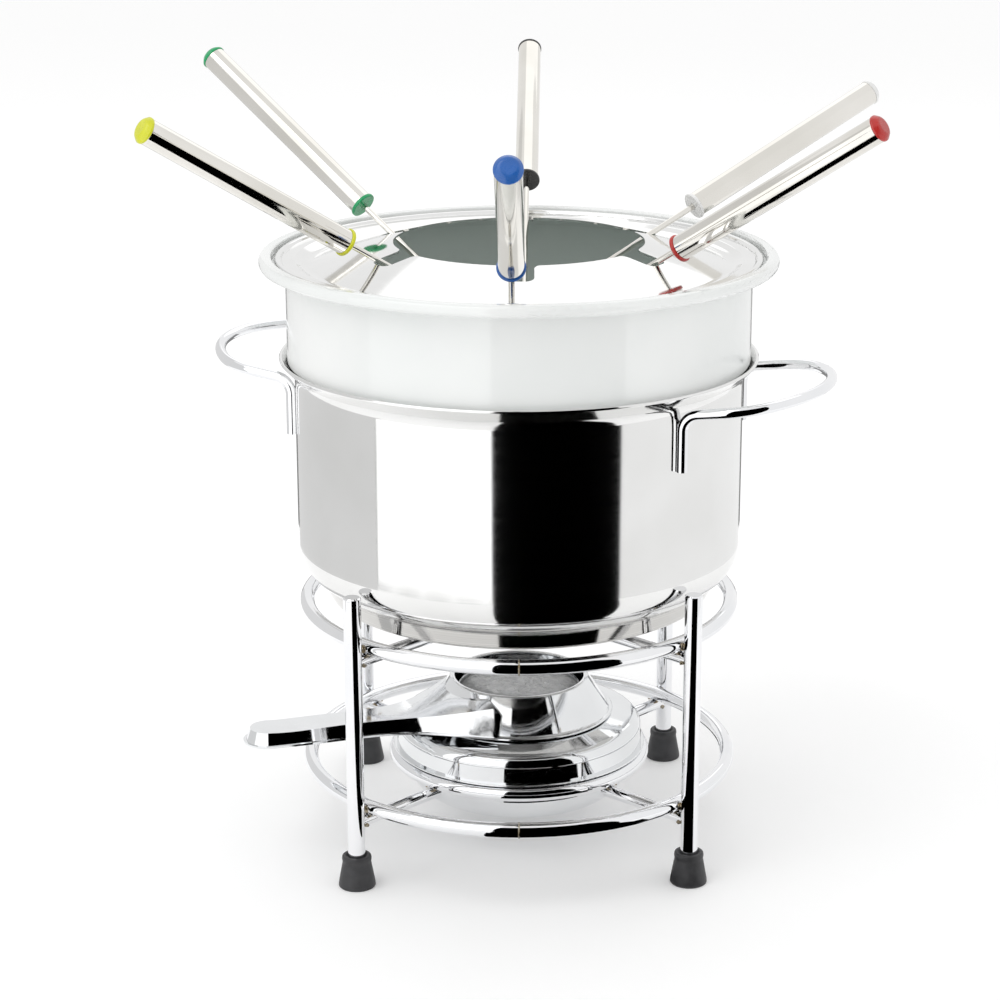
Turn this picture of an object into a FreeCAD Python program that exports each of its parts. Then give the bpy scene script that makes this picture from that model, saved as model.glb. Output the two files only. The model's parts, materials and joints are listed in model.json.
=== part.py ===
import FreeCAD, Part
import math
import os
from FreeCAD import Placement, Rotation, Vector

# Fondue pot set, in millimetres.
# The origin is on the table, on the vertical axis of the pot; -Y is the front and +Z is up.

# Stand: chromed wire, four posts, two tiers of rings on radial spokes
STAND_TURN = 1.4            # the stand is turned this far anticlockwise under the pot, degrees
POST_D = 7.0
POST_TOP = 121.0
POST_CHAMFER = 0.5
RING_R = 87.0               # centreline of the two outer rings
INNER_RING_R = 51.2         # centreline of the two inner rings
RING_D = 6.0
SPOKE_D = 5.0
SPOKE_INNER_END = 48.4
LOWER_RING_Z = 32.0
UPPER_RING_Z = 99.3
POST_R = RING_R + RING_D / 2 + POST_D / 2
CORNERS = {"front_left": 225, "front_right": 315, "back_right": 45, "back_left": 135}

# Rubber feet
FOOT_H = 13.2
FOOT_BOTTOM_R = 7.4
FOOT_TOP_R = 5.9
FOOT_FLOOR = 3.0            # rubber under the end of the post

# Pot: drawn stainless steel with a flared rim, a bonded base disc and two wire handles
SHEET = 0.8
POT_R = 90.0
REST_GAP = 0.3              # between pieces that rest on each other but come apart
POT_BASE_Z = UPPER_RING_Z + RING_D / 2 + REST_GAP
BASE_DISC_H = 7.5
BASE_DISC_R = 77.0
BASE_DISC_TOP_R = 82.0
POT_FLOOR_Z = POT_BASE_Z + BASE_DISC_H
POT_CORNER_R = 15.0
FLARE_Z = 195.5
RIM_R = 96.2
RIM_Z = 202.5
POT_HANDLE_AZIMUTHS = {"right": -20.2, "left": 159.8}

HANDLE_WIRE_D = 4.2
HANDLE_LEG_R = POT_R + 1.6  # the legs are flattened 0.5 mm into their welds on the wall
HANDLE_HALF_SPAN = 27.2     # degrees from the middle of the handle to each leg
HANDLE_LEG_BOTTOM_Z = 171.2
HANDLE_BEND_R = 7.0
HANDLE_ROOT_Z = 193.4       # where a leg's centreline would meet the loop's
HANDLE_TILT = 7.6           # the loop rises outwards, degrees
HANDLE_ARM = 15.5           # straight arm from the leg's line to the corner
HANDLE_CORNER_R = 24.0
HANDLE_CORNER_TURN = 50.0   # degrees turned by the corner, the wide end arc turns the rest

# Ceramic bowl: stands on its step in the pot's flared rim
BOWL_R = 92.8
BOWL_WALL = 4.4
BOWL_LOWER_R = 87.6
BOWL_BOTTOM_Z = 120.0
BOWL_CORNER_R = 24.0
BOWL_STEP_Z = 194.8
BOWL_FLANGE_R = 103.1
BOWL_FLANGE_Z = 238.6
BOWL_TOP_Z = 243.4
REBATE_R = 98.2
REBATE_Z = 239.8

# Fork guide: pressed ring with a rolled rim, a channel, a cone and an opening with notches
GUIDE_BEAD_R = 95.8
GUIDE_BEAD_Z = 241.2
GUIDE_BEAD = 1.1
GUIDE_SEAT_R = 88.9         # inner edge of the flat that lies on the bowl
GUIDE_CHANNEL_R = 84.6
GUIDE_CHANNEL_Z = 238.4
GUIDE_BLANK_R = 45.0        # the cone's inner edge before the opening is cut
GUIDE_BLANK_Z = 248.7
GUIDE_OPENING_R = 50.0
NOTCH_COUNT = 6
NOTCH_W = 11.6
NOTCH_OUTER_R = 63.0
NOTCH_END_R = 3.5
NOTCH_MOUTH_R = 3.0

# Burner: cup, cover, wadding, and a regulator that turns on the cover
BURNER_R = 51.0
BURNER_SEAT_Z = LOWER_RING_Z + RING_D / 2 + REST_GAP
CUP_R = 46.4
CUP_BOTTOM_Z = 15.0
CUP_CORNER_R = 13.0
CUP_FLANGE_R = 52.6
COVER_SHOULDER_Z = 46.8
COVER_SHOULDER_R = 5.0
COVER_LAND_R = 38.0
COVER_LAND_Z = 49.4
COVER_NECK_R = 25.6
COVER_NECK_Z = 60.0
WADDING_TOP_Z = 63.0
REGULATOR_R = 39.0
REGULATOR_Z = 49.8
REGULATOR_CONE_R = 37.4
REGULATOR_OPENING_R = 27.4
REGULATOR_TOP_Z = 65.0

# Regulator handle: a pressed channel, set off to one side of the burner's axis
LEVER_AZIMUTH = 197.3
LEVER_OFFSET = 7.8          # the handle's middle line passes this far in front of the axis
LEVER_TIP_CENTRE = 108.2    # along the handle, centre of its rounded end
LEVER_SIDE_RUN = 1.6        # the side walls lean out by this much
LEVER_LIP = 1.2
LEVER_LIP_Z = 50.8
LEVER_STATIONS = [          # along the handle, half width of its top, height of its top
    (LEVER_TIP_CENTRE, 7.4, 56.4),
    (82.0, 7.2, 56.4),
    (58.0, 8.0, 56.6),
    (44.0, 12.0, 57.8),
    (32.0, 18.5, 60.4),
    (20.0, 25.0, 63.4),
]

# Forks: tube handle, domed cap, collar, thin shaft with two prongs
TUBE_R = 5.0
TUBE_BORE_R = 4.4
TUBE_L = 94.5
CAP_R = 5.25
CAP_RIM = 0.9
CAP_DOME = 1.9
COLLAR_R = 5.6
COLLAR_T = 1.5
PLUG_L = 6.0
SHAFT_R = 1.2
SHAFT_L = 178.0             # from the collar to the tips of the prongs
SHAFT_IN_TUBE = 12.0
PRONG_L = 15.0
PRONG_HALF_W = 2.3
PRONG_W = 1.3
PRONG_T = 1.2

# Each fork: its notch's azimuth, its shift across the notch, how far it swings from radial, its
# tilt above level, and how far its collar stands out from the notch
FORKS = {
    "yellow": (210, -2.7, 2.9, 31.2, 15.2),
    "green": (150, -1.3, -5.1, 34.7, 15.5),
    "black": (90, -2.8, -1.1, 28.2, 24.3),
    "white": (30, -2.5, -0.7, 25.0, 20.6),
    "red": (-30, -1.1, -0.9, 33.0, 10.7),
    "blue": (-90, -2.8, -0.5, 31.5, 9.8),
}

UP = Vector(0, 0, 1)


def polar(r, azimuth, z=0.0):
    """The point at radius r and azimuth in degrees."""
    a = math.radians(azimuth)
    return Vector(r * math.cos(a), r * math.sin(a), z)


def rounded_wire(corners):
    """A closed wire through (point, fillet radius) corners, with tangent arcs at the corners."""
    edges = []
    ends = []
    count = len(corners)
    for i, (point, radius) in enumerate(corners):
        back = (corners[i - 1][0] - point).normalize()
        ahead = (corners[(i + 1) % count][0] - point).normalize()
        if radius <= 0:
            ends.append((point, point, None))
            continue
        half = back.getAngle(ahead) / 2
        reach = radius / math.tan(half)
        centre = point + (back + ahead).normalize() * (radius / math.sin(half))
        middle = centre + (point - centre).normalize() * radius
        ends.append((point + back * reach, point + ahead * reach, middle))
    for i, (start, end, middle) in enumerate(ends):
        if middle is not None:
            edges.append(Part.Arc(start, middle, end).toShape())
        following = ends[(i + 1) % count][0]
        if end.distanceToPoint(following) > 1e-6:
            edges.append(Part.LineSegment(end, following).toShape())
    return Part.Wire(edges)


def turned(profile):
    """A solid of revolution about Z from (radius, height, fillet) corners."""
    wire = rounded_wire([(Vector(r, 0, z), fillet) for r, z, fillet in profile])
    return Part.Face(wire).revolve(Vector(), UP, 360)


def plan_face(corners, z):
    """A level face from (x, y, fillet) corners."""
    return Part.Face(rounded_wire([(Vector(x, y, z), fillet) for x, y, fillet in corners]))


def wire_solid(edges, diameter):
    """Round wire bent along tangent edges."""
    path = Part.Wire(edges)
    start = path.Edges[0]
    direction = start.tangentAt(start.FirstParameter)
    circle = Part.Circle(start.valueAt(start.FirstParameter), direction, diameter / 2)
    return path.makePipeShell([Part.Wire(circle.toShape())], True, False)


def turn_about_axis(shape, azimuth):
    """The shape turned about the vertical axis."""
    turned_shape = shape.copy()
    turned_shape.rotate(Vector(), UP, azimuth)
    return turned_shape


# ---- Stand ----

def make_post():
    """A post on the +X side, its top edge chamfered."""
    post = Part.makeCylinder(POST_D / 2, POST_TOP - FOOT_FLOOR, Vector(POST_R, 0, FOOT_FLOOR))
    top_edges = [e for e in post.Edges if e.BoundBox.ZMin > POST_TOP - 0.01]
    return post.makeChamfer(POST_CHAMFER, top_edges)


def make_foot():
    """A flared rubber foot with a beaded top and a blind hole for the post."""
    foot = turned([
        (0, 0, 0),
        (FOOT_BOTTOM_R, 0, 0.6),
        (FOOT_BOTTOM_R - 0.1, 1.6, 1.5),
        (FOOT_TOP_R - 0.2, FOOT_H - 2.8, 2.0),
        (FOOT_TOP_R, FOOT_H - 1.4, 0.5),
        (FOOT_TOP_R - 0.2, FOOT_H, 0.7),
        (POST_D / 2 + 0.8, FOOT_H, 0.2),
        (POST_D / 2, FOOT_H - 1.0, 0),
        (POST_D / 2, FOOT_FLOOR, 0),
        (0, FOOT_FLOOR, 0),
    ])
    foot.translate(Vector(POST_R, 0, 0))
    return foot


def make_spoke(ring_z, post):
    """A radial spoke on the +X side, welded under the rings and butted against the post."""
    z = ring_z - RING_D / 2 - SPOKE_D / 2
    length = POST_R - SPOKE_INNER_END
    rod = Part.makeCylinder(SPOKE_D / 2, length, Vector(SPOKE_INNER_END, 0, z), Vector(1, 0, 0))
    return rod.cut(post)


def stand_parts():
    """The posts, feet, rings and spokes."""
    parts = {
        "upper_ring": Part.makeTorus(RING_R, RING_D / 2, Vector(0, 0, UPPER_RING_Z)),
        "upper_inner_ring": Part.makeTorus(INNER_RING_R, RING_D / 2, Vector(0, 0, UPPER_RING_Z)),
        "lower_ring": Part.makeTorus(RING_R, RING_D / 2, Vector(0, 0, LOWER_RING_Z)),
        "lower_inner_ring": Part.makeTorus(INNER_RING_R, RING_D / 2, Vector(0, 0, LOWER_RING_Z)),
    }
    post = make_post()
    corner_set = {
        "post": post,
        "rubber_foot": make_foot(),
        "upper_spoke": make_spoke(UPPER_RING_Z, post),
        "lower_spoke": make_spoke(LOWER_RING_Z, post),
    }
    for corner, azimuth in CORNERS.items():
        for kind, shape in corner_set.items():
            parts[kind + "_" + corner] = turn_about_axis(shape, azimuth + STAND_TURN)
    return parts


# ---- Pot ----

def make_pot_body():
    """The drawn pot: rounded bottom corner, straight wall, flared rim."""
    inner = POT_R - SHEET
    return turned([
        (0, POT_FLOOR_Z, 0),
        (POT_R, POT_FLOOR_Z, POT_CORNER_R),
        (POT_R, FLARE_Z, 5.0),
        (RIM_R, RIM_Z - 0.9, 0.35),
        (RIM_R - 0.5, RIM_Z, 0.35),
        (RIM_R - 1.2, RIM_Z - 0.2, 0.3),
        (inner, FLARE_Z + 0.5, 5.0),
        (inner, POT_FLOOR_Z + SHEET, POT_CORNER_R - SHEET),
        (0, POT_FLOOR_Z + SHEET, 0),
    ])


def make_base_disc():
    """The bonded base disc, with its edge drawn up around the pot's corner."""
    blank = turned([
        (0, POT_BASE_Z, 0),
        (BASE_DISC_R, POT_BASE_Z, 2.5),
        (BASE_DISC_TOP_R, POT_FLOOR_Z + 2.0, 0),
        (0, POT_FLOOR_Z + 2.0, 0),
    ])
    pot_outside = turned([
        (0, POT_FLOOR_Z, 0),
        (POT_R, POT_FLOOR_Z, POT_CORNER_R),
        (POT_R, FLARE_Z, 0),
        (0, FLARE_Z, 0),
    ])
    return blank.cut(pot_outside)


def make_pot_handle():
    """A wire loop on the +X side, both legs welded to the wall."""
    span = math.radians(HANDLE_HALF_SPAN)
    leg_x = HANDLE_LEG_R * math.cos(span)
    leg_y = HANDLE_LEG_R * math.sin(span)
    tilt = math.radians(HANDLE_TILT)
    outward = Vector(math.cos(tilt), 0, math.sin(tilt))
    turn = math.radians(HANDLE_CORNER_TURN)

    def on_loop(along, across):
        return Vector(leg_x, 0, HANDLE_ROOT_Z) + outward * along + Vector(0, across, 0)

    def corner(angle, side):
        along = HANDLE_ARM + HANDLE_CORNER_R * math.sin(angle)
        across = leg_y - HANDLE_CORNER_R * (1 - math.cos(angle))
        return on_loop(along, side * across)

    end_radius = (leg_y - HANDLE_CORNER_R * (1 - math.cos(turn))) / math.cos(turn)
    end_reach = HANDLE_ARM + HANDLE_CORNER_R * math.sin(turn) + end_radius * (1 - math.sin(turn))
    bend = (math.pi / 2 + tilt) / 2
    setback = HANDLE_BEND_R * math.tan(math.pi / 2 - bend)
    edges = []
    for side in (1, -1):
        knee = on_loop(0, side * leg_y)
        leg_end = Vector(knee.x, knee.y, HANDLE_LEG_BOTTOM_Z)
        bend_start = knee - UP * setback
        bend_end = knee + outward * setback
        inside = (outward - UP).normalize()
        bend_middle = knee + inside * (HANDLE_BEND_R / math.sin(bend) - HANDLE_BEND_R)
        arm_end = corner(0, side)
        half = [
            Part.LineSegment(leg_end, bend_start).toShape(),
            Part.Arc(bend_start, bend_middle, bend_end).toShape(),
            Part.LineSegment(bend_end, arm_end).toShape(),
            Part.Arc(arm_end, corner(turn / 2, side), corner(turn, side)).toShape(),
        ]
        if side > 0:
            edges += half
            end_arc = Part.Arc(corner(turn, 1), on_loop(end_reach, 0), corner(turn, -1))
            edges.append(end_arc.toShape())
        else:
            mirrored = [Part.Edge(e.Curve, e.FirstParameter, e.LastParameter) for e in half]
            edges += list(reversed(mirrored))
    loop = wire_solid(Part.sortEdges(edges)[0], HANDLE_WIRE_D)
    wall = Part.makeCylinder(POT_R, FLARE_Z, Vector())
    return loop.cut(wall)


def pot_parts():
    """The pot, its base disc and its two handles."""
    parts = {"pot_body": make_pot_body(), "pot_base_disc": make_base_disc()}
    handle = make_pot_handle()
    for side, azimuth in POT_HANDLE_AZIMUTHS.items():
        parts["pot_handle_" + side] = turn_about_axis(handle, azimuth)
    return parts


# ---- Ceramic bowl and fork guide ----

def make_ceramic_bowl():
    """The bowl: a step that stands in the pot's rim, and a flange with a rebate for the guide."""
    step = BOWL_R - BOWL_LOWER_R
    rise = step * (RIM_Z - FLARE_Z) / (RIM_R - POT_R)
    inner = BOWL_R - BOWL_WALL
    inner_lower = BOWL_LOWER_R - BOWL_WALL
    return turned([
        (0, BOWL_BOTTOM_Z, 0),
        (BOWL_LOWER_R, BOWL_BOTTOM_Z, BOWL_CORNER_R),
        (BOWL_LOWER_R, BOWL_STEP_Z, 1.5),
        (BOWL_R, BOWL_STEP_Z + rise, 1.5),
        (BOWL_R, BOWL_FLANGE_Z, 2.5),
        (BOWL_FLANGE_R, BOWL_FLANGE_Z, 2.0),
        (BOWL_FLANGE_R, BOWL_TOP_Z, 2.2),
        (REBATE_R, BOWL_TOP_Z, 0.8),
        (REBATE_R, REBATE_Z, 0.6),
        (inner, REBATE_Z, 1.2),
        (inner, BOWL_STEP_Z + rise, 6.0),
        (inner_lower, BOWL_STEP_Z - 2.0, 6.0),
        (inner_lower, BOWL_BOTTOM_Z + BOWL_WALL, BOWL_CORNER_R - 4.0),
        (0, BOWL_BOTTOM_Z + BOWL_WALL, 0),
    ])


def make_notch_cutter():
    """The opening's plan, a circle with rounded notches, as a tall prism."""
    low = REBATE_Z - 10
    rise = Vector(0, 0, 30)
    half = NOTCH_W / 2
    slot = plan_face([
        (GUIDE_OPENING_R / 2, -half, 0),
        (NOTCH_OUTER_R, -half, NOTCH_END_R),
        (NOTCH_OUTER_R, half, NOTCH_END_R),
        (GUIDE_OPENING_R / 2, half, 0),
    ], low).extrude(rise)
    prism = Part.makeCylinder(GUIDE_OPENING_R, rise.z, Vector(0, 0, low))
    for k in range(NOTCH_COUNT):
        prism = prism.fuse(turn_about_axis(slot, 30 + 360 / NOTCH_COUNT * k))
    prism = prism.removeSplitter()
    mouth_edges = []
    for edge in prism.Edges:
        start = edge.Vertexes[0].Point
        end = edge.Vertexes[-1].Point
        upright = abs(end.z - start.z) > rise.z / 2
        if upright and abs(math.hypot(start.x, start.y) - GUIDE_OPENING_R) < 0.01:
            mouth_edges.append(edge)
    return prism.makeFillet(NOTCH_MOUTH_R, mouth_edges)


def make_fork_guide():
    """The pressed ring: a rolled rim, a channel and a cone with the notched opening."""
    bead_top = GUIDE_BEAD_Z + GUIDE_BEAD
    bead_low = GUIDE_BEAD_Z - GUIDE_BEAD
    inside = GUIDE_BEAD_R - GUIDE_BEAD
    outside = GUIDE_BEAD_R + GUIDE_BEAD
    ring = turned([
        (GUIDE_BLANK_R, GUIDE_BLANK_Z - SHEET, 0),
        (GUIDE_CHANNEL_R, GUIDE_CHANNEL_Z - SHEET, 5.0),
        (GUIDE_SEAT_R, bead_low, 1.0),
        (outside, bead_low, GUIDE_BEAD - 0.05),
        (outside, bead_top, GUIDE_BEAD - 0.05),
        (inside, bead_top, 0.9),
        (inside - 0.8, bead_low + SHEET, 0.5),
        (GUIDE_SEAT_R, bead_low + SHEET, 1.0),
        (GUIDE_CHANNEL_R, GUIDE_CHANNEL_Z, 5.0),
        (GUIDE_BLANK_R, GUIDE_BLANK_Z, 0),
    ])
    return ring.cut(make_notch_cutter())


# ---- Burner ----

def make_burner_cup():
    """The fuel cup that hangs in the lower inner ring by its flange."""
    inner = CUP_R - SHEET
    top = BURNER_SEAT_Z + SHEET
    return turned([
        (0, CUP_BOTTOM_Z, 0),
        (CUP_R, CUP_BOTTOM_Z, CUP_CORNER_R),
        (CUP_R, BURNER_SEAT_Z, 0.5),
        (CUP_FLANGE_R, BURNER_SEAT_Z, 0.35),
        (CUP_FLANGE_R, top, 0.35),
        (inner, top, 1.2),
        (inner, CUP_BOTTOM_Z + SHEET, CUP_CORNER_R - SHEET),
        (0, CUP_BOTTOM_Z + SHEET, 0),
    ])


def make_burner_cover():
    """The cover over the cup, with the neck that holds the wadding."""
    low = BURNER_SEAT_Z + SHEET
    inner = BURNER_R - SHEET
    neck_inner = COVER_NECK_R - SHEET
    land_edge_r = COVER_NECK_R + 1.0
    return turned([
        (BURNER_R, low, 0),
        (BURNER_R, COVER_SHOULDER_Z, COVER_SHOULDER_R),
        (COVER_LAND_R, COVER_LAND_Z, 3.0),
        (land_edge_r, COVER_LAND_Z, 0.6),
        (COVER_NECK_R, COVER_NECK_Z, 0.3),
        (neck_inner, COVER_NECK_Z, 0.3),
        (neck_inner, COVER_LAND_Z - SHEET, 0.5),
        (COVER_LAND_R, COVER_LAND_Z - SHEET, 3.0),
        (inner, COVER_SHOULDER_Z - SHEET, COVER_SHOULDER_R - SHEET),
        (inner, low, 0),
    ])


def make_burner_wadding():
    """The absorbent wadding, a column in the cup and the neck with a domed top."""
    side = COVER_NECK_R - SHEET - 0.1
    return turned([
        (0, CUP_BOTTOM_Z + SHEET, 0),
        (side, CUP_BOTTOM_Z + SHEET, 2.0),
        (side, WADDING_TOP_Z - 2.2, 3.0),
        (side * 0.45, WADDING_TOP_Z, 12.0),
        (0, WADDING_TOP_Z, 0),
    ])


def cone_outline(grow):
    """The regulator's cone from edge to opening, moved outwards by grow."""
    return [
        (REGULATOR_CONE_R + grow, REGULATOR_Z + SHEET),
        (REGULATOR_OPENING_R + 1.0 + grow, REGULATOR_TOP_Z),
    ]


def make_regulator_plate():
    """The conical regulator with a thin edge and a turned-in lip at its opening."""
    foot, top = cone_outline(0)
    foot_in, top_in = cone_outline(-1.1)
    return turned([
        (REGULATOR_R, REGULATOR_Z, 0.3),
        (REGULATOR_R, REGULATOR_Z + SHEET, 0.3),
        (foot[0], foot[1], 1.2),
        (top[0], top[1], 1.2),
        (REGULATOR_OPENING_R - 0.6, REGULATOR_TOP_Z - 0.3, 0.3),
        (REGULATOR_OPENING_R - 0.6, REGULATOR_TOP_Z - 1.3, 0.3),
        (top_in[0] + 0.1, REGULATOR_TOP_Z - 1.1, 0.5),
        (foot_in[0], REGULATOR_Z, 0),
    ])


def lever_point(along, across, z):
    """A point in the handle's own frame: along it, across it towards the front, and its height."""
    direction = polar(1, LEVER_AZIMUTH)
    side = Vector(-direction.y, direction.x, 0)
    return direction * along + side * (across + LEVER_OFFSET) + Vector(0, 0, z)


def channel_section(half_top, top_z):
    """(across, z) corners of the pressed channel, round its sheet from one lip to the other."""
    side = half_top + LEVER_SIDE_RUN
    lip = side + LEVER_LIP
    outer = [
        (half_top, top_z),
        (side, LEVER_LIP_Z + SHEET),
        (lip, LEVER_LIP_Z + SHEET),
        (lip, LEVER_LIP_Z),
    ]
    inner = [
        (side - SHEET, LEVER_LIP_Z),
        (half_top - SHEET, top_z - SHEET),
    ]
    return outer, inner


def make_regulator_handle():
    """The pressed channel handle: fans out from the cone and ends in a rounded tip."""
    wires = []
    for along, half_top, top_z in LEVER_STATIONS:
        outer, inner = channel_section(half_top, top_z)
        right = outer + inner
        left = [(-across, z) for across, z in reversed(right)]
        points = [lever_point(along, across, z) for across, z in right + left]
        wires.append(Part.makePolygon(points + points[:1]))
    arm = Part.makeLoft(wires, True, False)

    tip_along, tip_half, tip_top_z = LEVER_STATIONS[0]
    outer, inner = channel_section(tip_half, tip_top_z)
    half_section = [(0, tip_top_z)] + outer + inner + [(0, tip_top_z - SHEET)]
    points = [lever_point(tip_along, across, z) for across, z in half_section]
    face = Part.Face(Part.makePolygon(points + points[:1]))
    tip = face.revolve(lever_point(tip_along, 0, 0), UP, -180)

    foot, top = cone_outline(0)
    inside_cone = turned([
        (0, 0, 0),
        (REGULATOR_R, 0, 0),
        (REGULATOR_R, REGULATOR_Z + SHEET, 0),
        (foot[0], foot[1], 0),
        (top[0], top[1], 0),
        (top[0], top[1] + 20, 0),
        (0, top[1] + 20, 0),
    ])
    return arm.fuse(tip).cut(inside_cone).removeSplitter()


def burner_parts():
    """The burner's cup, cover and wadding, and the regulator with its handle."""
    return {
        "burner_cup": make_burner_cup(),
        "burner_cover": make_burner_cover(),
        "burner_wadding": make_burner_wadding(),
        "regulator_plate": make_regulator_plate(),
        "regulator_handle": make_regulator_handle(),
    }


# ---- Forks: built along +Z with the prongs' tips at the origin ----

def make_fork_shaft():
    """The shaft, and a flat head that splits into two pointed prongs."""
    start = PRONG_L + 3.0
    shaft_top = SHAFT_L + COLLAR_T + SHAFT_IN_TUBE
    shaft = Part.makeCylinder(SHAFT_R, shaft_top - start, Vector(0, 0, start))
    inner = PRONG_HALF_W - PRONG_W
    half_outline = [
        (PRONG_HALF_W - 0.3, 0),
        (PRONG_HALF_W, 3.2),
        (PRONG_HALF_W, PRONG_L),
        (SHAFT_R, PRONG_L + 4.0),
    ]
    half_gap = [
        (inner, PRONG_L - 1.5),
        (inner + 0.4, 3.2),
    ]
    right = half_outline
    left = [(-x, z) for x, z in reversed(half_outline)]
    gap = [(-x, z) for x, z in reversed(half_gap)] + half_gap
    points = [Vector(x, -PRONG_T / 2, z) for x, z in right + left + gap]
    head = Part.Face(Part.makePolygon(points + points[:1])).extrude(Vector(0, PRONG_T, 0))
    return shaft.fuse(head).removeSplitter()


def make_collar():
    """The coloured disc at the foot of the handle, with a plug in the tube and a shaft hole."""
    plug_top = SHAFT_L + COLLAR_T + PLUG_L
    return turned([
        (SHAFT_R, SHAFT_L, 0.2),
        (COLLAR_R, SHAFT_L, 0.5),
        (COLLAR_R, SHAFT_L + COLLAR_T, 0.5),
        (TUBE_BORE_R, SHAFT_L + COLLAR_T, 0),
        (TUBE_BORE_R, plug_top, 0.4),
        (SHAFT_R, plug_top, 0.2),
    ])


def make_tube():
    """The handle's tube."""
    low = SHAFT_L + COLLAR_T
    return turned([
        (TUBE_BORE_R, low, 0),
        (TUBE_R, low, 0.15),
        (TUBE_R, low + TUBE_L, 0.15),
        (TUBE_BORE_R, low + TUBE_L, 0),
    ])


def make_cap():
    """The coloured domed cap with its plug in the tube."""
    low = SHAFT_L + COLLAR_T + TUBE_L
    return turned([
        (0, low - PLUG_L, 0),
        (TUBE_BORE_R, low - PLUG_L, 0.4),
        (TUBE_BORE_R, low, 0),
        (CAP_R, low, 0.25),
        (CAP_R, low + CAP_RIM, 0.4),
        (CAP_R - 1.6, low + CAP_RIM + CAP_DOME, 2.2),
        (0, low + CAP_RIM + CAP_DOME, 0),
    ])


def notch_end(shift):
    """Where a notch's end lies under a shaft that is shifted across it: radius and height."""
    into_corner = max(0, abs(shift) + SHAFT_R - (NOTCH_W / 2 - NOTCH_END_R))
    reach = NOTCH_OUTER_R - NOTCH_END_R + math.sqrt(NOTCH_END_R ** 2 - into_corner ** 2)
    fall = (GUIDE_BLANK_Z - GUIDE_CHANNEL_Z) / (GUIDE_CHANNEL_R - GUIDE_BLANK_R)
    return reach, GUIDE_BLANK_Z - fall * (reach - GUIDE_BLANK_R)


def fork_placement(notch, shift, swing, tilt, collar_out):
    """Where a fork lies: its shaft leans on the end of its notch."""
    reach, height = notch_end(shift)
    rise = math.radians(tilt)
    above = SHAFT_R + REST_GAP
    rest = polar(reach - above * math.sin(rise), notch, height + above * math.cos(rise))
    rest += polar(shift, notch + 90)
    level = polar(1, notch + swing)
    along = level * math.cos(rise) + UP * math.sin(rise)
    across = Vector(-level.y, level.x, 0)
    turn = Rotation(across, along.cross(across), along, "ZXY")
    tips = rest - along * (SHAFT_L - collar_out)
    return Placement(tips, turn)


def fork_parts():
    """Six forks alike but for the colour of their collars and caps."""
    pieces = {
        "shaft": make_fork_shaft(),
        "collar": make_collar(),
        "tube": make_tube(),
        "cap": make_cap(),
    }
    parts = {}
    for colour, setting in FORKS.items():
        placement = fork_placement(*setting)
        for piece, shape in pieces.items():
            placed = shape.copy()
            placed.Placement = placement
            parts["fork_" + colour + "_" + piece] = placed
    return parts


def main():
    """Build every piece and write it to its own file."""
    os.makedirs("parts", exist_ok=True)
    parts = {}
    parts.update(stand_parts())
    parts.update(pot_parts())
    parts["ceramic_bowl"] = make_ceramic_bowl()
    parts["fork_guide"] = make_fork_guide()
    parts.update(burner_parts())
    parts.update(fork_parts())
    for node, shape in parts.items():
        if not shape.isValid() or len(shape.Solids) != 1:
            raise ValueError(node + " is not one sound solid")
        shape.Solids[0].exportStep(os.path.join("parts", node + ".step"))
        print(node, round(shape.Volume, 1))


main()
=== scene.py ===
import json
import math
import random

import bpy
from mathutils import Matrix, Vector, noise


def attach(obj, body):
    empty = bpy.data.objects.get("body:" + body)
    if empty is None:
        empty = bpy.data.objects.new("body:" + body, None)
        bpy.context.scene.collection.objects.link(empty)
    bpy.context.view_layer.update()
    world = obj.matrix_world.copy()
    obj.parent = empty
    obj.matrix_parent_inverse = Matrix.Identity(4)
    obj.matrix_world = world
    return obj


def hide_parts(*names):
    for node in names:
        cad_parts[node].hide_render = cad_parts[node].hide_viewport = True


# Fondue pot set: materials, weld beads and wadding around the fixed CAD frame, and the studio.
# Shapes are in millimetres, lamps and the camera in metres. -Y is the front and +Z is up.
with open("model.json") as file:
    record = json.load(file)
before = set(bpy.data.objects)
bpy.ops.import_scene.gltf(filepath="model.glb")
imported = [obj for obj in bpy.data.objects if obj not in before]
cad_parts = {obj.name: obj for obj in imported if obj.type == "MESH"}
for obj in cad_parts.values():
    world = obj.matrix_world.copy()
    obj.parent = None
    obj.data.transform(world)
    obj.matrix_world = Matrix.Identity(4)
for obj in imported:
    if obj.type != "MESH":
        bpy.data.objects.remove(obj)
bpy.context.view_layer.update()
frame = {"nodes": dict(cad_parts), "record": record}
NODES = frame["nodes"]
SLOT_OF = {s["node"]: s["material_slot"] for s in frame["record"]["subparts"]}
MM = 0.001
UP = Vector((0, 0, 1))
random.seed(7)

# The stand's centrelines and wires, as in the CAD
RING_R = 87.0
INNER_RING_R = 51.2
RING_D = 6.0
SPOKE_D = 5.0
POST_INNER_R = 90.0         # where the outer rings touch the posts
TIERS = (32.0, 99.3)
CORNER_AZIMUTHS = (226.4, 316.4, 46.4, 136.4)

# Weld beads: how far they sit from the middle of their joint, and their radii
BEAD_UNDER_RING = 2.6
BEAD_BESIDE_SPOKE = 2.3
BEAD_BESIDE_POST = 2.0
BUTT_WELD_R = 2.95
BUTT_WELD_BULGE = 0.42

# Wadding: a pad with loose fibres on its domed top
WADDING_R = 24.6
WADDING_TOP_Z = 63.0
WADDING_LOW_Z = 16.0
FIBRES = 900
FIBRE_R = 0.09
FIBRE_POINTS = 6

# Where the bowl's inside lies, in metres, which gets a green-tinted glaze darkened with painted shade:
# a narrow lower part and a wide part over its step
INNER_LOWER_R = 0.0845
INNER_UPPER_R = 0.0889
INNER_STEP_Z = 0.199
INNER_FLOOR_Z = 0.1222
BRUSHED_R = 0.0755          # the base disc is brushed inside this radius and polished outside it

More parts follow.
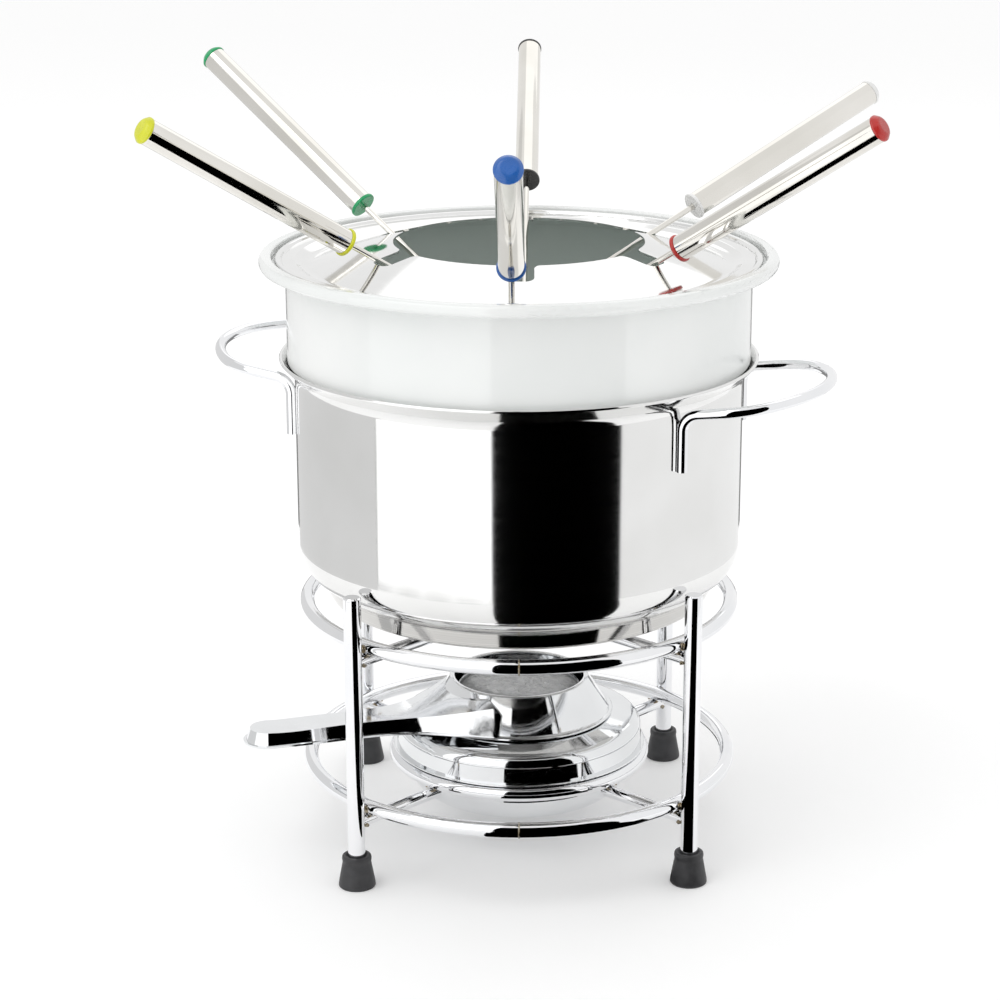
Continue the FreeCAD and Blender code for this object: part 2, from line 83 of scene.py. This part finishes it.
# Reflector cards: angles from the front, growing towards the right, and brightness
CARD_R = 420
CARD_TOP = 600
BLACK_FROM = -11.5
BLACK_TO = 46.5


# ---- Mesh building ----

def new_object(name, verts, faces):
    """A mesh object from points in millimetres."""
    mesh = bpy.data.meshes.new(name)
    mesh.from_pydata([Vector(v) * MM for v in verts], [], faces)
    mesh.polygons.foreach_set("use_smooth", [True] * len(faces))
    piece = bpy.data.objects.new(name, mesh)
    bpy.context.scene.collection.objects.link(piece)
    return piece


def polar(r, azimuth, z=0.0):
    """The point at radius r and azimuth in degrees."""
    a = math.radians(azimuth)
    return Vector((r * math.cos(a), r * math.sin(a), z))


def add_bead(verts, faces, centre, size, along):
    """Append a lumpy weld bead, drawn out along one direction."""
    rows, columns = 6, 10
    first = len(verts)
    seed = Vector((random.random() * 50, random.random() * 50, 0))
    along = along.normalized()
    side = along.orthogonal().normalized()
    other = along.cross(side)
    for k in range(rows + 1):
        lat = math.pi * k / rows
        for j in range(columns):
            lon = 2 * math.pi * j / columns
            way = (along * math.cos(lat) * 1.5
                   + (side * math.cos(lon) + other * math.sin(lon)) * math.sin(lat))
            verts.append(centre + way * size * (1 + 0.35 * noise.noise(way * 1.6 + seed)))
    for k in range(rows):
        for j in range(columns):
            i = (j + 1) % columns
            low, high = first + k * columns, first + (k + 1) * columns
            faces.append((low + j, high + j, high + i, low + i))


def add_tube(verts, faces, points, radius, sides=5):
    """Append a thin tube through points, tapered to its ends."""
    first = len(verts)
    count = len(points)
    for k, point in enumerate(points):
        ahead = (points[min(k + 1, count - 1)] - points[max(k - 1, 0)]).normalized()
        side = ahead.orthogonal().normalized()
        other = ahead.cross(side)
        thin = radius * (0.35 + 0.65 * math.sin(math.pi * (k + 0.5) / count))
        for j in range(sides):
            a = 2 * math.pi * j / sides
            verts.append(point + (side * math.cos(a) + other * math.sin(a)) * thin)
    for k in range(count - 1):
        for j in range(sides):
            i = (j + 1) % sides
            low, high = first + k * sides, first + (k + 1) * sides
            faces.append((low + j, low + i, high + i, high + j))


def add_piece(piece, body, paint, slot, *nodes):
    """Give a new piece its material and body, and hide the CAD nodes that it stands for; the slot
    argument is not used.
    """
    piece.data.materials.append(paint)
    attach(piece, body)
    if nodes:
        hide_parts(*nodes)


# ---- Materials ----

def add_node(tree, kind, inputs=(), **settings):
    """A shader node with its settings and input values."""
    node = tree.nodes.new(kind)
    for key, value in settings.items():
        setattr(node, key, value)
    for key, value in dict(inputs).items():
        node.inputs[key].default_value = value
    return node


def new_material(name, **values):
    """A material whose shader has these uniform values, and its tree, shader and place."""
    material = bpy.data.materials.new(name)
    material.use_nodes = True
    tree = material.node_tree
    shader = tree.nodes["Principled BSDF"]
    for key, value in values.items():
        shader.inputs[key.replace("_", " ")].default_value = value
    place = add_node(tree, "ShaderNodeTexCoord").outputs["Object"]
    return material, tree, shader, place


def cloud(tree, place, scale, stretch=(1, 1, 1), detail=3.0):
    """Noise of a given scale, stretched along the axes."""
    mapping = add_node(tree, "ShaderNodeMapping", {"Scale": stretch})
    texture = add_node(tree, "ShaderNodeTexNoise", {"Scale": scale, "Detail": detail})
    tree.links.new(place, mapping.inputs["Vector"])
    tree.links.new(mapping.outputs["Vector"], texture.inputs["Vector"])
    return texture.outputs["Fac"]


def ramp(tree, value, stops):
    """A colour ramp from (position, colour) stops."""
    node = add_node(tree, "ShaderNodeValToRGB")
    elements = node.color_ramp.elements
    while len(elements) < len(stops):
        elements.new(0.5)
    for element, (position, colour) in zip(elements, stops):
        element.position = position
        element.color = (*colour, 1)
    tree.links.new(value, node.inputs["Fac"])
    return node.outputs["Color"]


def spread(tree, value, low, high):
    """A value from 0.3..0.7 mapped to low..high."""
    node = add_node(tree, "ShaderNodeMapRange",
                    {"From Min": 0.3, "From Max": 0.7, "To Min": low, "To Max": high})
    tree.links.new(value, node.inputs["Value"])
    return node.outputs["Result"]


def compare(tree, value, operation, limit):
    """One where the comparison with the limit holds, else zero."""
    node = add_node(tree, "ShaderNodeMath", operation=operation)
    tree.links.new(value, node.inputs[0])
    node.inputs[1].default_value = limit
    return node.outputs[0]


def combine(tree, operation, first, second):
    """Two values combined by a maths operation."""
    node = add_node(tree, "ShaderNodeMath", operation=operation)
    tree.links.new(first, node.inputs[0])
    tree.links.new(second, node.inputs[1])
    return node.outputs[0]


def radius_and_height(tree, place):
    """Distance from the vertical axis and height, in metres."""
    split = add_node(tree, "ShaderNodeSeparateXYZ")
    tree.links.new(place, split.inputs[0])
    flat = add_node(tree, "ShaderNodeCombineXYZ")
    tree.links.new(split.outputs["X"], flat.inputs["X"])
    tree.links.new(split.outputs["Y"], flat.inputs["Y"])
    length = add_node(tree, "ShaderNodeVectorMath", operation="LENGTH")
    tree.links.new(flat.outputs[0], length.inputs[0])
    return length.outputs["Value"], split.outputs["Z"]


def bumps(tree, shader, layers):
    """Stack bump layers of (height, strength, distance in metres)."""
    normal = None
    for height, strength, distance in layers:
        node = add_node(tree, "ShaderNodeBump", {"Strength": strength, "Distance": distance})
        tree.links.new(height, node.inputs["Height"])
        if normal:
            tree.links.new(normal, node.inputs["Normal"])
        normal = node.outputs["Normal"]
    tree.links.new(normal, shader.inputs["Normal"])


def polished_metal(name, dark, light, rough, waviness=0.0, streaks=(1, 1, 1)):
    """Polished metal: faint colour and roughness variation, fine hairlines, slight waviness."""
    material, tree, shader, place = new_material(name, Metallic=1.0)
    tone = cloud(tree, place, 26.0)
    tree.links.new(ramp(tree, tone, [(0.3, dark), (0.7, light)]), shader.inputs["Base Color"])
    hair = cloud(tree, place, 420.0, streaks, 4.0)
    tree.links.new(spread(tree, hair, *rough), shader.inputs["Roughness"])
    layers = [(hair, 0.05, 0.00001)]
    if waviness:
        layers.append((cloud(tree, place, 13.0, detail=1.0), 1.0, waviness))
    bumps(tree, shader, layers)
    return material


def turned_steel():
    """The base disc: fine turned rings with a brushed gleam."""
    material, tree, shader, place = new_material("turned_steel", Metallic=1.0, Anisotropic=0.6)
    radius, height = radius_and_height(tree, place)
    rings = add_node(tree, "ShaderNodeCombineXYZ")
    tree.links.new(radius, rings.inputs["X"])
    tree.links.new(height, rings.inputs["Y"])
    marks = cloud(tree, rings.outputs[0], 2200.0, detail=4.0)
    soft = cloud(tree, place, 30.0)
    tree.links.new(ramp(tree, marks, [(0.3, (0.55, 0.54, 0.52)), (0.7, (0.74, 0.73, 0.71))]),
                   shader.inputs["Base Color"])
    underside = compare(tree, radius, "LESS_THAN", BRUSHED_R)
    brushed = combine(tree, "MULTIPLY", underside, spread(tree, soft, 0.16, 0.26))
    roughness = combine(tree, "MAXIMUM", brushed, spread(tree, soft, 0.05, 0.08))
    tree.links.new(roughness, shader.inputs["Roughness"])
    bumps(tree, shader, [(marks, 0.25, 0.00003)])
    return material


def glazed_ceramic():
    """White glaze outside; inside, a green-tinted glaze darkened a little with painted shade; faintly
    cloudy and slightly uneven.
    """
    material, tree, shader, place = new_material("white_ceramic", Coat_Weight=0.4, Coat_Roughness=0.04)
    radius, height = radius_and_height(tree, place)
    narrow = compare(tree, radius, "LESS_THAN", INNER_LOWER_R)
    wide = combine(tree, "MULTIPLY", compare(tree, radius, "LESS_THAN", INNER_UPPER_R),
                   compare(tree, height, "GREATER_THAN", INNER_STEP_Z))
    within = combine(tree, "MULTIPLY", combine(tree, "MAXIMUM", narrow, wide),
                     compare(tree, height, "GREATER_THAN", INNER_FLOOR_Z))
    tone = cloud(tree, place, 18.0)
    white = ramp(tree, tone, [(0.3, (0.80, 0.82, 0.81)), (0.7, (0.86, 0.87, 0.86))])
    # Inside colour: the glaze's green tint, made darker than the outside as painted shade inside the
    # bowl.
    green_glaze_with_painted_shade = ramp(tree, tone, [(0.3, (0.74, 0.80, 0.77)), (0.7, (0.80, 0.86, 0.83))])
    mix = add_node(tree, "ShaderNodeMix", data_type="RGBA")
    white_input, inner_input = (i for i in mix.inputs if i.type == "RGBA")
    colour = next(o for o in mix.outputs if o.type == "RGBA")
    tree.links.new(within, mix.inputs["Factor"])
    tree.links.new(white, white_input)
    tree.links.new(green_glaze_with_painted_shade, inner_input)
    tree.links.new(colour, shader.inputs["Base Color"])
    tree.links.new(spread(tree, cloud(tree, place, 60.0), 0.08, 0.18), shader.inputs["Roughness"])
    bumps(tree, shader, [(cloud(tree, place, 24.0, detail=1.0), 0.4, 0.0002),
                         (cloud(tree, place, 500.0), 0.03, 0.00002)])
    return material


def gloss_plastic(name, colour):
    """Moulded plastic with a light swirl in its colour and a soft gloss."""
    material, tree, shader, place = new_material(name, Coat_Weight=0.25, Coat_Roughness=0.1)
    deep = [c * 0.82 for c in colour]
    tone = cloud(tree, place, 160.0)
    tree.links.new(ramp(tree, tone, [(0.3, deep), (0.7, colour)]), shader.inputs["Base Color"])
    tree.links.new(spread(tree, cloud(tree, place, 900.0), 0.22, 0.36), shader.inputs["Roughness"])
    bumps(tree, shader, [(cloud(tree, place, 1500.0), 0.08, 0.00002)])
    return material


def rubber():
    """Charcoal rubber with a fine moulded grain."""
    material, tree, shader, place = new_material("rubber")
    tone = cloud(tree, place, 220.0)
    tree.links.new(ramp(tree, tone, [(0.3, (0.020, 0.020, 0.022)), (0.75, (0.045, 0.045, 0.048))]),
                   shader.inputs["Base Color"])
    tree.links.new(spread(tree, tone, 0.42, 0.58), shader.inputs["Roughness"])
    bumps(tree, shader, [(cloud(tree, place, 2600.0), 0.25, 0.00006)])
    return material


def fibre():
    """White mineral wadding."""
    material, tree, shader, place = new_material("fibre", Sheen_Weight=0.4)
    tone = cloud(tree, place, 420.0)
    tree.links.new(ramp(tree, tone, [(0.3, (0.72, 0.73, 0.74)), (0.7, (0.90, 0.90, 0.90))]),
                   shader.inputs["Base Color"])
    tree.links.new(spread(tree, tone, 0.8, 1.0), shader.inputs["Roughness"])
    bumps(tree, shader, [(cloud(tree, place, 1600.0, detail=5.0), 0.6, 0.0003)])
    return material


def weld_metal():
    """Weld metal with a brown heat tint."""
    material, tree, shader, place = new_material("weld_metal", Metallic=1.0)
    tone = cloud(tree, place, 900.0)
    stops = [(0.3, (0.24, 0.17, 0.08)), (0.55, (0.42, 0.36, 0.26)), (0.75, (0.66, 0.64, 0.60))]
    tree.links.new(ramp(tree, tone, stops), shader.inputs["Base Color"])
    tree.links.new(spread(tree, tone, 0.2, 0.4), shader.inputs["Roughness"])
    bumps(tree, shader, [(cloud(tree, place, 1800.0), 0.4, 0.0001)])
    return material


PAINT = {
    "chromed_wire": polished_metal("chromed_wire", (0.84, 0.85, 0.87), (0.91, 0.91, 0.92),
                                   (0.02, 0.05)),
    "polished_steel": polished_metal("polished_steel", (0.80, 0.80, 0.79), (0.86, 0.86, 0.855),
                                     (0.06, 0.10), 0.00018, (0.12, 0.12, 6.0)),
    "base_disc_steel": turned_steel(),
    "burner_steel": polished_metal("burner_steel", (0.78, 0.79, 0.80), (0.87, 0.88, 0.89),
                                   (0.03, 0.08), 0.0001),
    "fork_steel": polished_metal("fork_steel", (0.74, 0.72, 0.67), (0.84, 0.82, 0.78), (0.04, 0.10),
                                 0.0, (1.0, 1.0, 0.1)),
    "white_ceramic": glazed_ceramic(),
    "rubber": rubber(),
    "wadding": fibre(),
    "plastic_yellow": gloss_plastic("plastic_yellow", (0.68, 0.70, 0.01)),
    "plastic_green": gloss_plastic("plastic_green", (0.0, 0.36, 0.12)),
    "plastic_black": gloss_plastic("plastic_black", (0.02, 0.02, 0.02)),
    "plastic_white": gloss_plastic("plastic_white", (0.86, 0.86, 0.85)),
    "plastic_red": gloss_plastic("plastic_red", (0.50, 0.02, 0.015)),
    "plastic_blue": gloss_plastic("plastic_blue", (0.01, 0.11, 0.42)),
}

for node, piece in NODES.items():
    for slot in piece.material_slots:
        slot.material = PAINT[SLOT_OF[node]]


# ---- Weld beads, butt welds and wadding ----

def add_corner_welds(verts, faces, ring_z, azimuth):
    """Append the beads of one spoke: at its post, under both rings, and where the ring is held."""
    outward = polar(1, azimuth)
    round_way = polar(1, azimuth + 90)
    under_z = ring_z - BEAD_UNDER_RING
    spoke_z = ring_z - (RING_D + SPOKE_D) / 2
    for side in (-1, 1):
        way = round_way * side
        at_post = way * BEAD_BESIDE_POST
        at_ring = way * BEAD_BESIDE_SPOKE
        add_bead(verts, faces, polar(POST_INNER_R - 0.1, azimuth, ring_z) + at_post, 1.1, UP)
        add_bead(verts, faces, polar(RING_R, azimuth, under_z) + at_ring, 1.0, outward)
        add_bead(verts, faces, polar(INNER_RING_R, azimuth, under_z) + at_ring, 1.0, outward)
        add_bead(verts, faces, polar(POST_INNER_R - 0.2, azimuth, spoke_z - 1.2) + at_post, 0.9, way)


def add_butt_weld(verts, faces, ring_z):
    """Append the thin bulge round an outer ring's wire at the front, in short tubes."""
    steps = 36
    for k in range(steps):
        angles = (2 * math.pi * n / steps for n in (k, k + 1))
        points = [Vector((0, -RING_R - BUTT_WELD_R * math.cos(a), ring_z + BUTT_WELD_R * math.sin(a)))
                  for a in angles]
        add_tube(verts, faces, points, BUTT_WELD_BULGE)


def make_weld_beads():
    """Small beads where rings, spokes and posts meet, and a butt weld in each outer ring."""
    verts, faces = [], []
    for ring_z in TIERS:
        for azimuth in CORNER_AZIMUTHS:
            add_corner_welds(verts, faces, ring_z, azimuth)
        add_butt_weld(verts, faces, ring_z)
    beads = new_object("weld_beads", verts, faces)
    add_piece(beads, "stand", weld_metal(), "chromed_wire")


def wadding_height(x, y):
    """Height of the wadding's fluffy top."""
    far = math.hypot(x, y) / WADDING_R
    lump = noise.noise(Vector((x, y, 3)) * 0.16) * 0.8 + noise.noise(Vector((x, y, 9)) * 0.5) * 0.35
    return WADDING_TOP_Z - 0.9 - 3.6 * far ** 3.5 + lump * (1 - far ** 6)


def add_pad(verts, faces):
    """Append the pad: its domed top from the middle outwards, its side and its flat bottom."""
    columns, rows = 72, 26
    for k in range(rows + 1):
        for j in range(columns):
            p = polar(WADDING_R * k / rows, 360 * j / columns)
            verts.append((p.x, p.y, wadding_height(p.x, p.y)))
    for j in range(columns):
        verts.append(tuple(polar(WADDING_R, 360 * j / columns, WADDING_LOW_Z)))
    for k in range(rows + 1):
        for j in range(columns):
            i = (j + 1) % columns
            low, high = k * columns, (k + 1) * columns
            faces.append((low + j, high + j, high + i, low + i))
    last = (rows + 1) * columns
    faces.append(tuple(last + j for j in reversed(range(columns))))


def add_fibre(verts, faces):
    """Append one loose fibre that wanders over the pad's top."""
    place = polar(WADDING_R * 0.93 * math.sqrt(random.random()), random.random() * 360)
    heading = random.random() * 360
    points = []
    for n in range(FIBRE_POINTS):
        arch = 0.75 * math.sin(math.pi * n / (FIBRE_POINTS - 1)) - 0.1
        points.append(Vector((place.x, place.y, wadding_height(place.x, place.y) + arch)))
        heading += random.uniform(-35, 35)
        ahead = place + polar(1.0, heading)
        place = ahead if ahead.length < WADDING_R * 0.96 else place * 0.97
    add_tube(verts, faces, points, FIBRE_R, 4)


def make_wadding():
    """A pad of fluffy mineral wool with loose fibres on its top."""
    verts, faces = [], []
    add_pad(verts, faces)
    for _ in range(FIBRES):
        add_fibre(verts, faces)
    pad = new_object("wadding_pad", verts, faces)
    add_piece(pad, "burner", PAINT["wadding"], "wadding", "burner_wadding")


make_weld_beads()
make_wadding()


# ---- Stage, light and camera ----

def add_card(name, verts, faces, value):
    """A card of one brightness, seen only in reflections."""
    card = new_object(name, verts, faces)
    material, _, shader, _ = new_material(name, Roughness=1.0)
    shader.inputs["Base Color"].default_value = (0, 0, 0, 1)
    shader.inputs["Specular IOR Level"].default_value = 0.0
    shader.inputs["Emission Color"].default_value = (1, 1, 1, 1)
    shader.inputs["Emission Strength"].default_value = value
    card.data.materials.append(material)
    card.visible_camera = False
    card.visible_diffuse = False
    card.visible_shadow = False
    card.visible_transmission = False


def card_edges(start, end, first, second, steps=24):
    """Two edges of a card between two angles, as alternating points; each edge is (radius, z)."""
    verts = []
    for k in range(steps + 1):
        way = start + (end - start) * k / steps - 90
        verts += [polar(first[0], way, first[1]), polar(second[0], way, second[1])]
    return verts


def make_card(name, start, end, low, value):
    """An upright curved card."""
    verts = card_edges(start, end, (CARD_R, low), (CARD_R, CARD_TOP))
    faces = [(k, k + 2, k + 3, k + 1) for k in range(0, len(verts) - 2, 2)]
    add_card(name, verts, faces, value)


def make_floor_card(name, start, end, near, far, value):
    """A card that lies on the floor."""
    verts = card_edges(start, end, (near, 1.0), (far, 1.0))
    faces = [(k, k + 1, k + 3, k + 2) for k in range(0, len(verts) - 2, 2)]
    add_card(name, verts, faces, value)


def make_floor():
    """A plain pale floor."""
    half = 9.0
    mesh = bpy.data.meshes.new("floor")
    mesh.from_pydata([(-half, -half, 0), (half, -half, 0), (half, half, 0), (-half, half, 0)],
                     [], [(0, 1, 2, 3)])
    floor = bpy.data.objects.new("floor", mesh)
    bpy.context.scene.collection.objects.link(floor)
    material, _, shader, _ = new_material("floor", Roughness=0.85)
    shader.inputs["Base Color"].default_value = (0.93, 0.93, 0.93, 1)
    shader.inputs["Emission Color"].default_value = (1, 1, 1, 1)
    shader.inputs["Emission Strength"].default_value = 0.1
    shader.inputs["Specular IOR Level"].default_value = 0.1
    mesh.materials.append(material)


def add_lamp(kind, name, place, target, power):
    """A lamp that looks at a point."""
    data = bpy.data.lights.new(name, kind)
    data.energy = power
    lamp = bpy.data.objects.new(name, data)
    lamp.location = place
    lamp.rotation_euler = (Vector(target) - Vector(place)).to_track_quat("-Z", "Y").to_euler()
    bpy.context.scene.collection.objects.link(lamp)
    return data


def make_lights():
    """A large key light from the upper left, a fill from behind and a spot on the wadding."""
    key = add_lamp("AREA", "key", (-0.9, -0.7, 1.5), (0, 0, 0.15), 6)
    key.size = 1.2
    fill = add_lamp("AREA", "fill", (0.3, 1.2, 1.4), (0, 0, 0.1), 2.5)
    fill.size = 1.5
    spot = add_lamp("SPOT", "burner_light", (-0.2, -0.62, 0.27), (0, 0, 0.06), 6)
    spot.spot_size = math.radians(6.0)
    spot.spot_blend = 0.6
    spot.shadow_soft_size = 0.03


def make_studio():
    """White surroundings, lights, reflector cards and a floor."""
    world = bpy.data.worlds.new("studio")
    world.use_nodes = True
    background = world.node_tree.nodes["Background"]
    background.inputs["Color"].default_value = (1, 1, 1, 1)
    background.inputs["Strength"].default_value = 0.93
    bpy.context.scene.world = world
    bpy.context.scene.view_settings.view_transform = "Standard"
    make_lights()
    make_card("white_card", -69, -12, 12, 1.35)
    make_card("grey_card", -150, -69.5, 0, 0.74)
    make_card("black_card", BLACK_FROM, BLACK_TO, 0, 0.0)
    make_card("grey_card_right", 47, 150, 0, 0.95)
    make_floor_card("black_floor_card", BLACK_FROM, BLACK_TO, 75, CARD_R, 0.0)
    make_floor_card("grey_floor_card", -180, 180, 450, 1500, 0.25)
    make_floor()


def make_camera():
    """The camera stands in front of the set and looks down on it."""
    data = bpy.data.cameras.new("camera")
    data.lens = 94.6
    data.sensor_width = 36.0
    data.shift_x = -0.019
    camera = bpy.data.objects.new("camera", data)
    camera.location = (0, -1.0283, 0.4468)
    camera.rotation_euler = (math.radians(90 - 16.615), 0, 0)
    bpy.context.scene.collection.objects.link(camera)
    bpy.context.scene.camera = camera


make_studio()
make_camera()
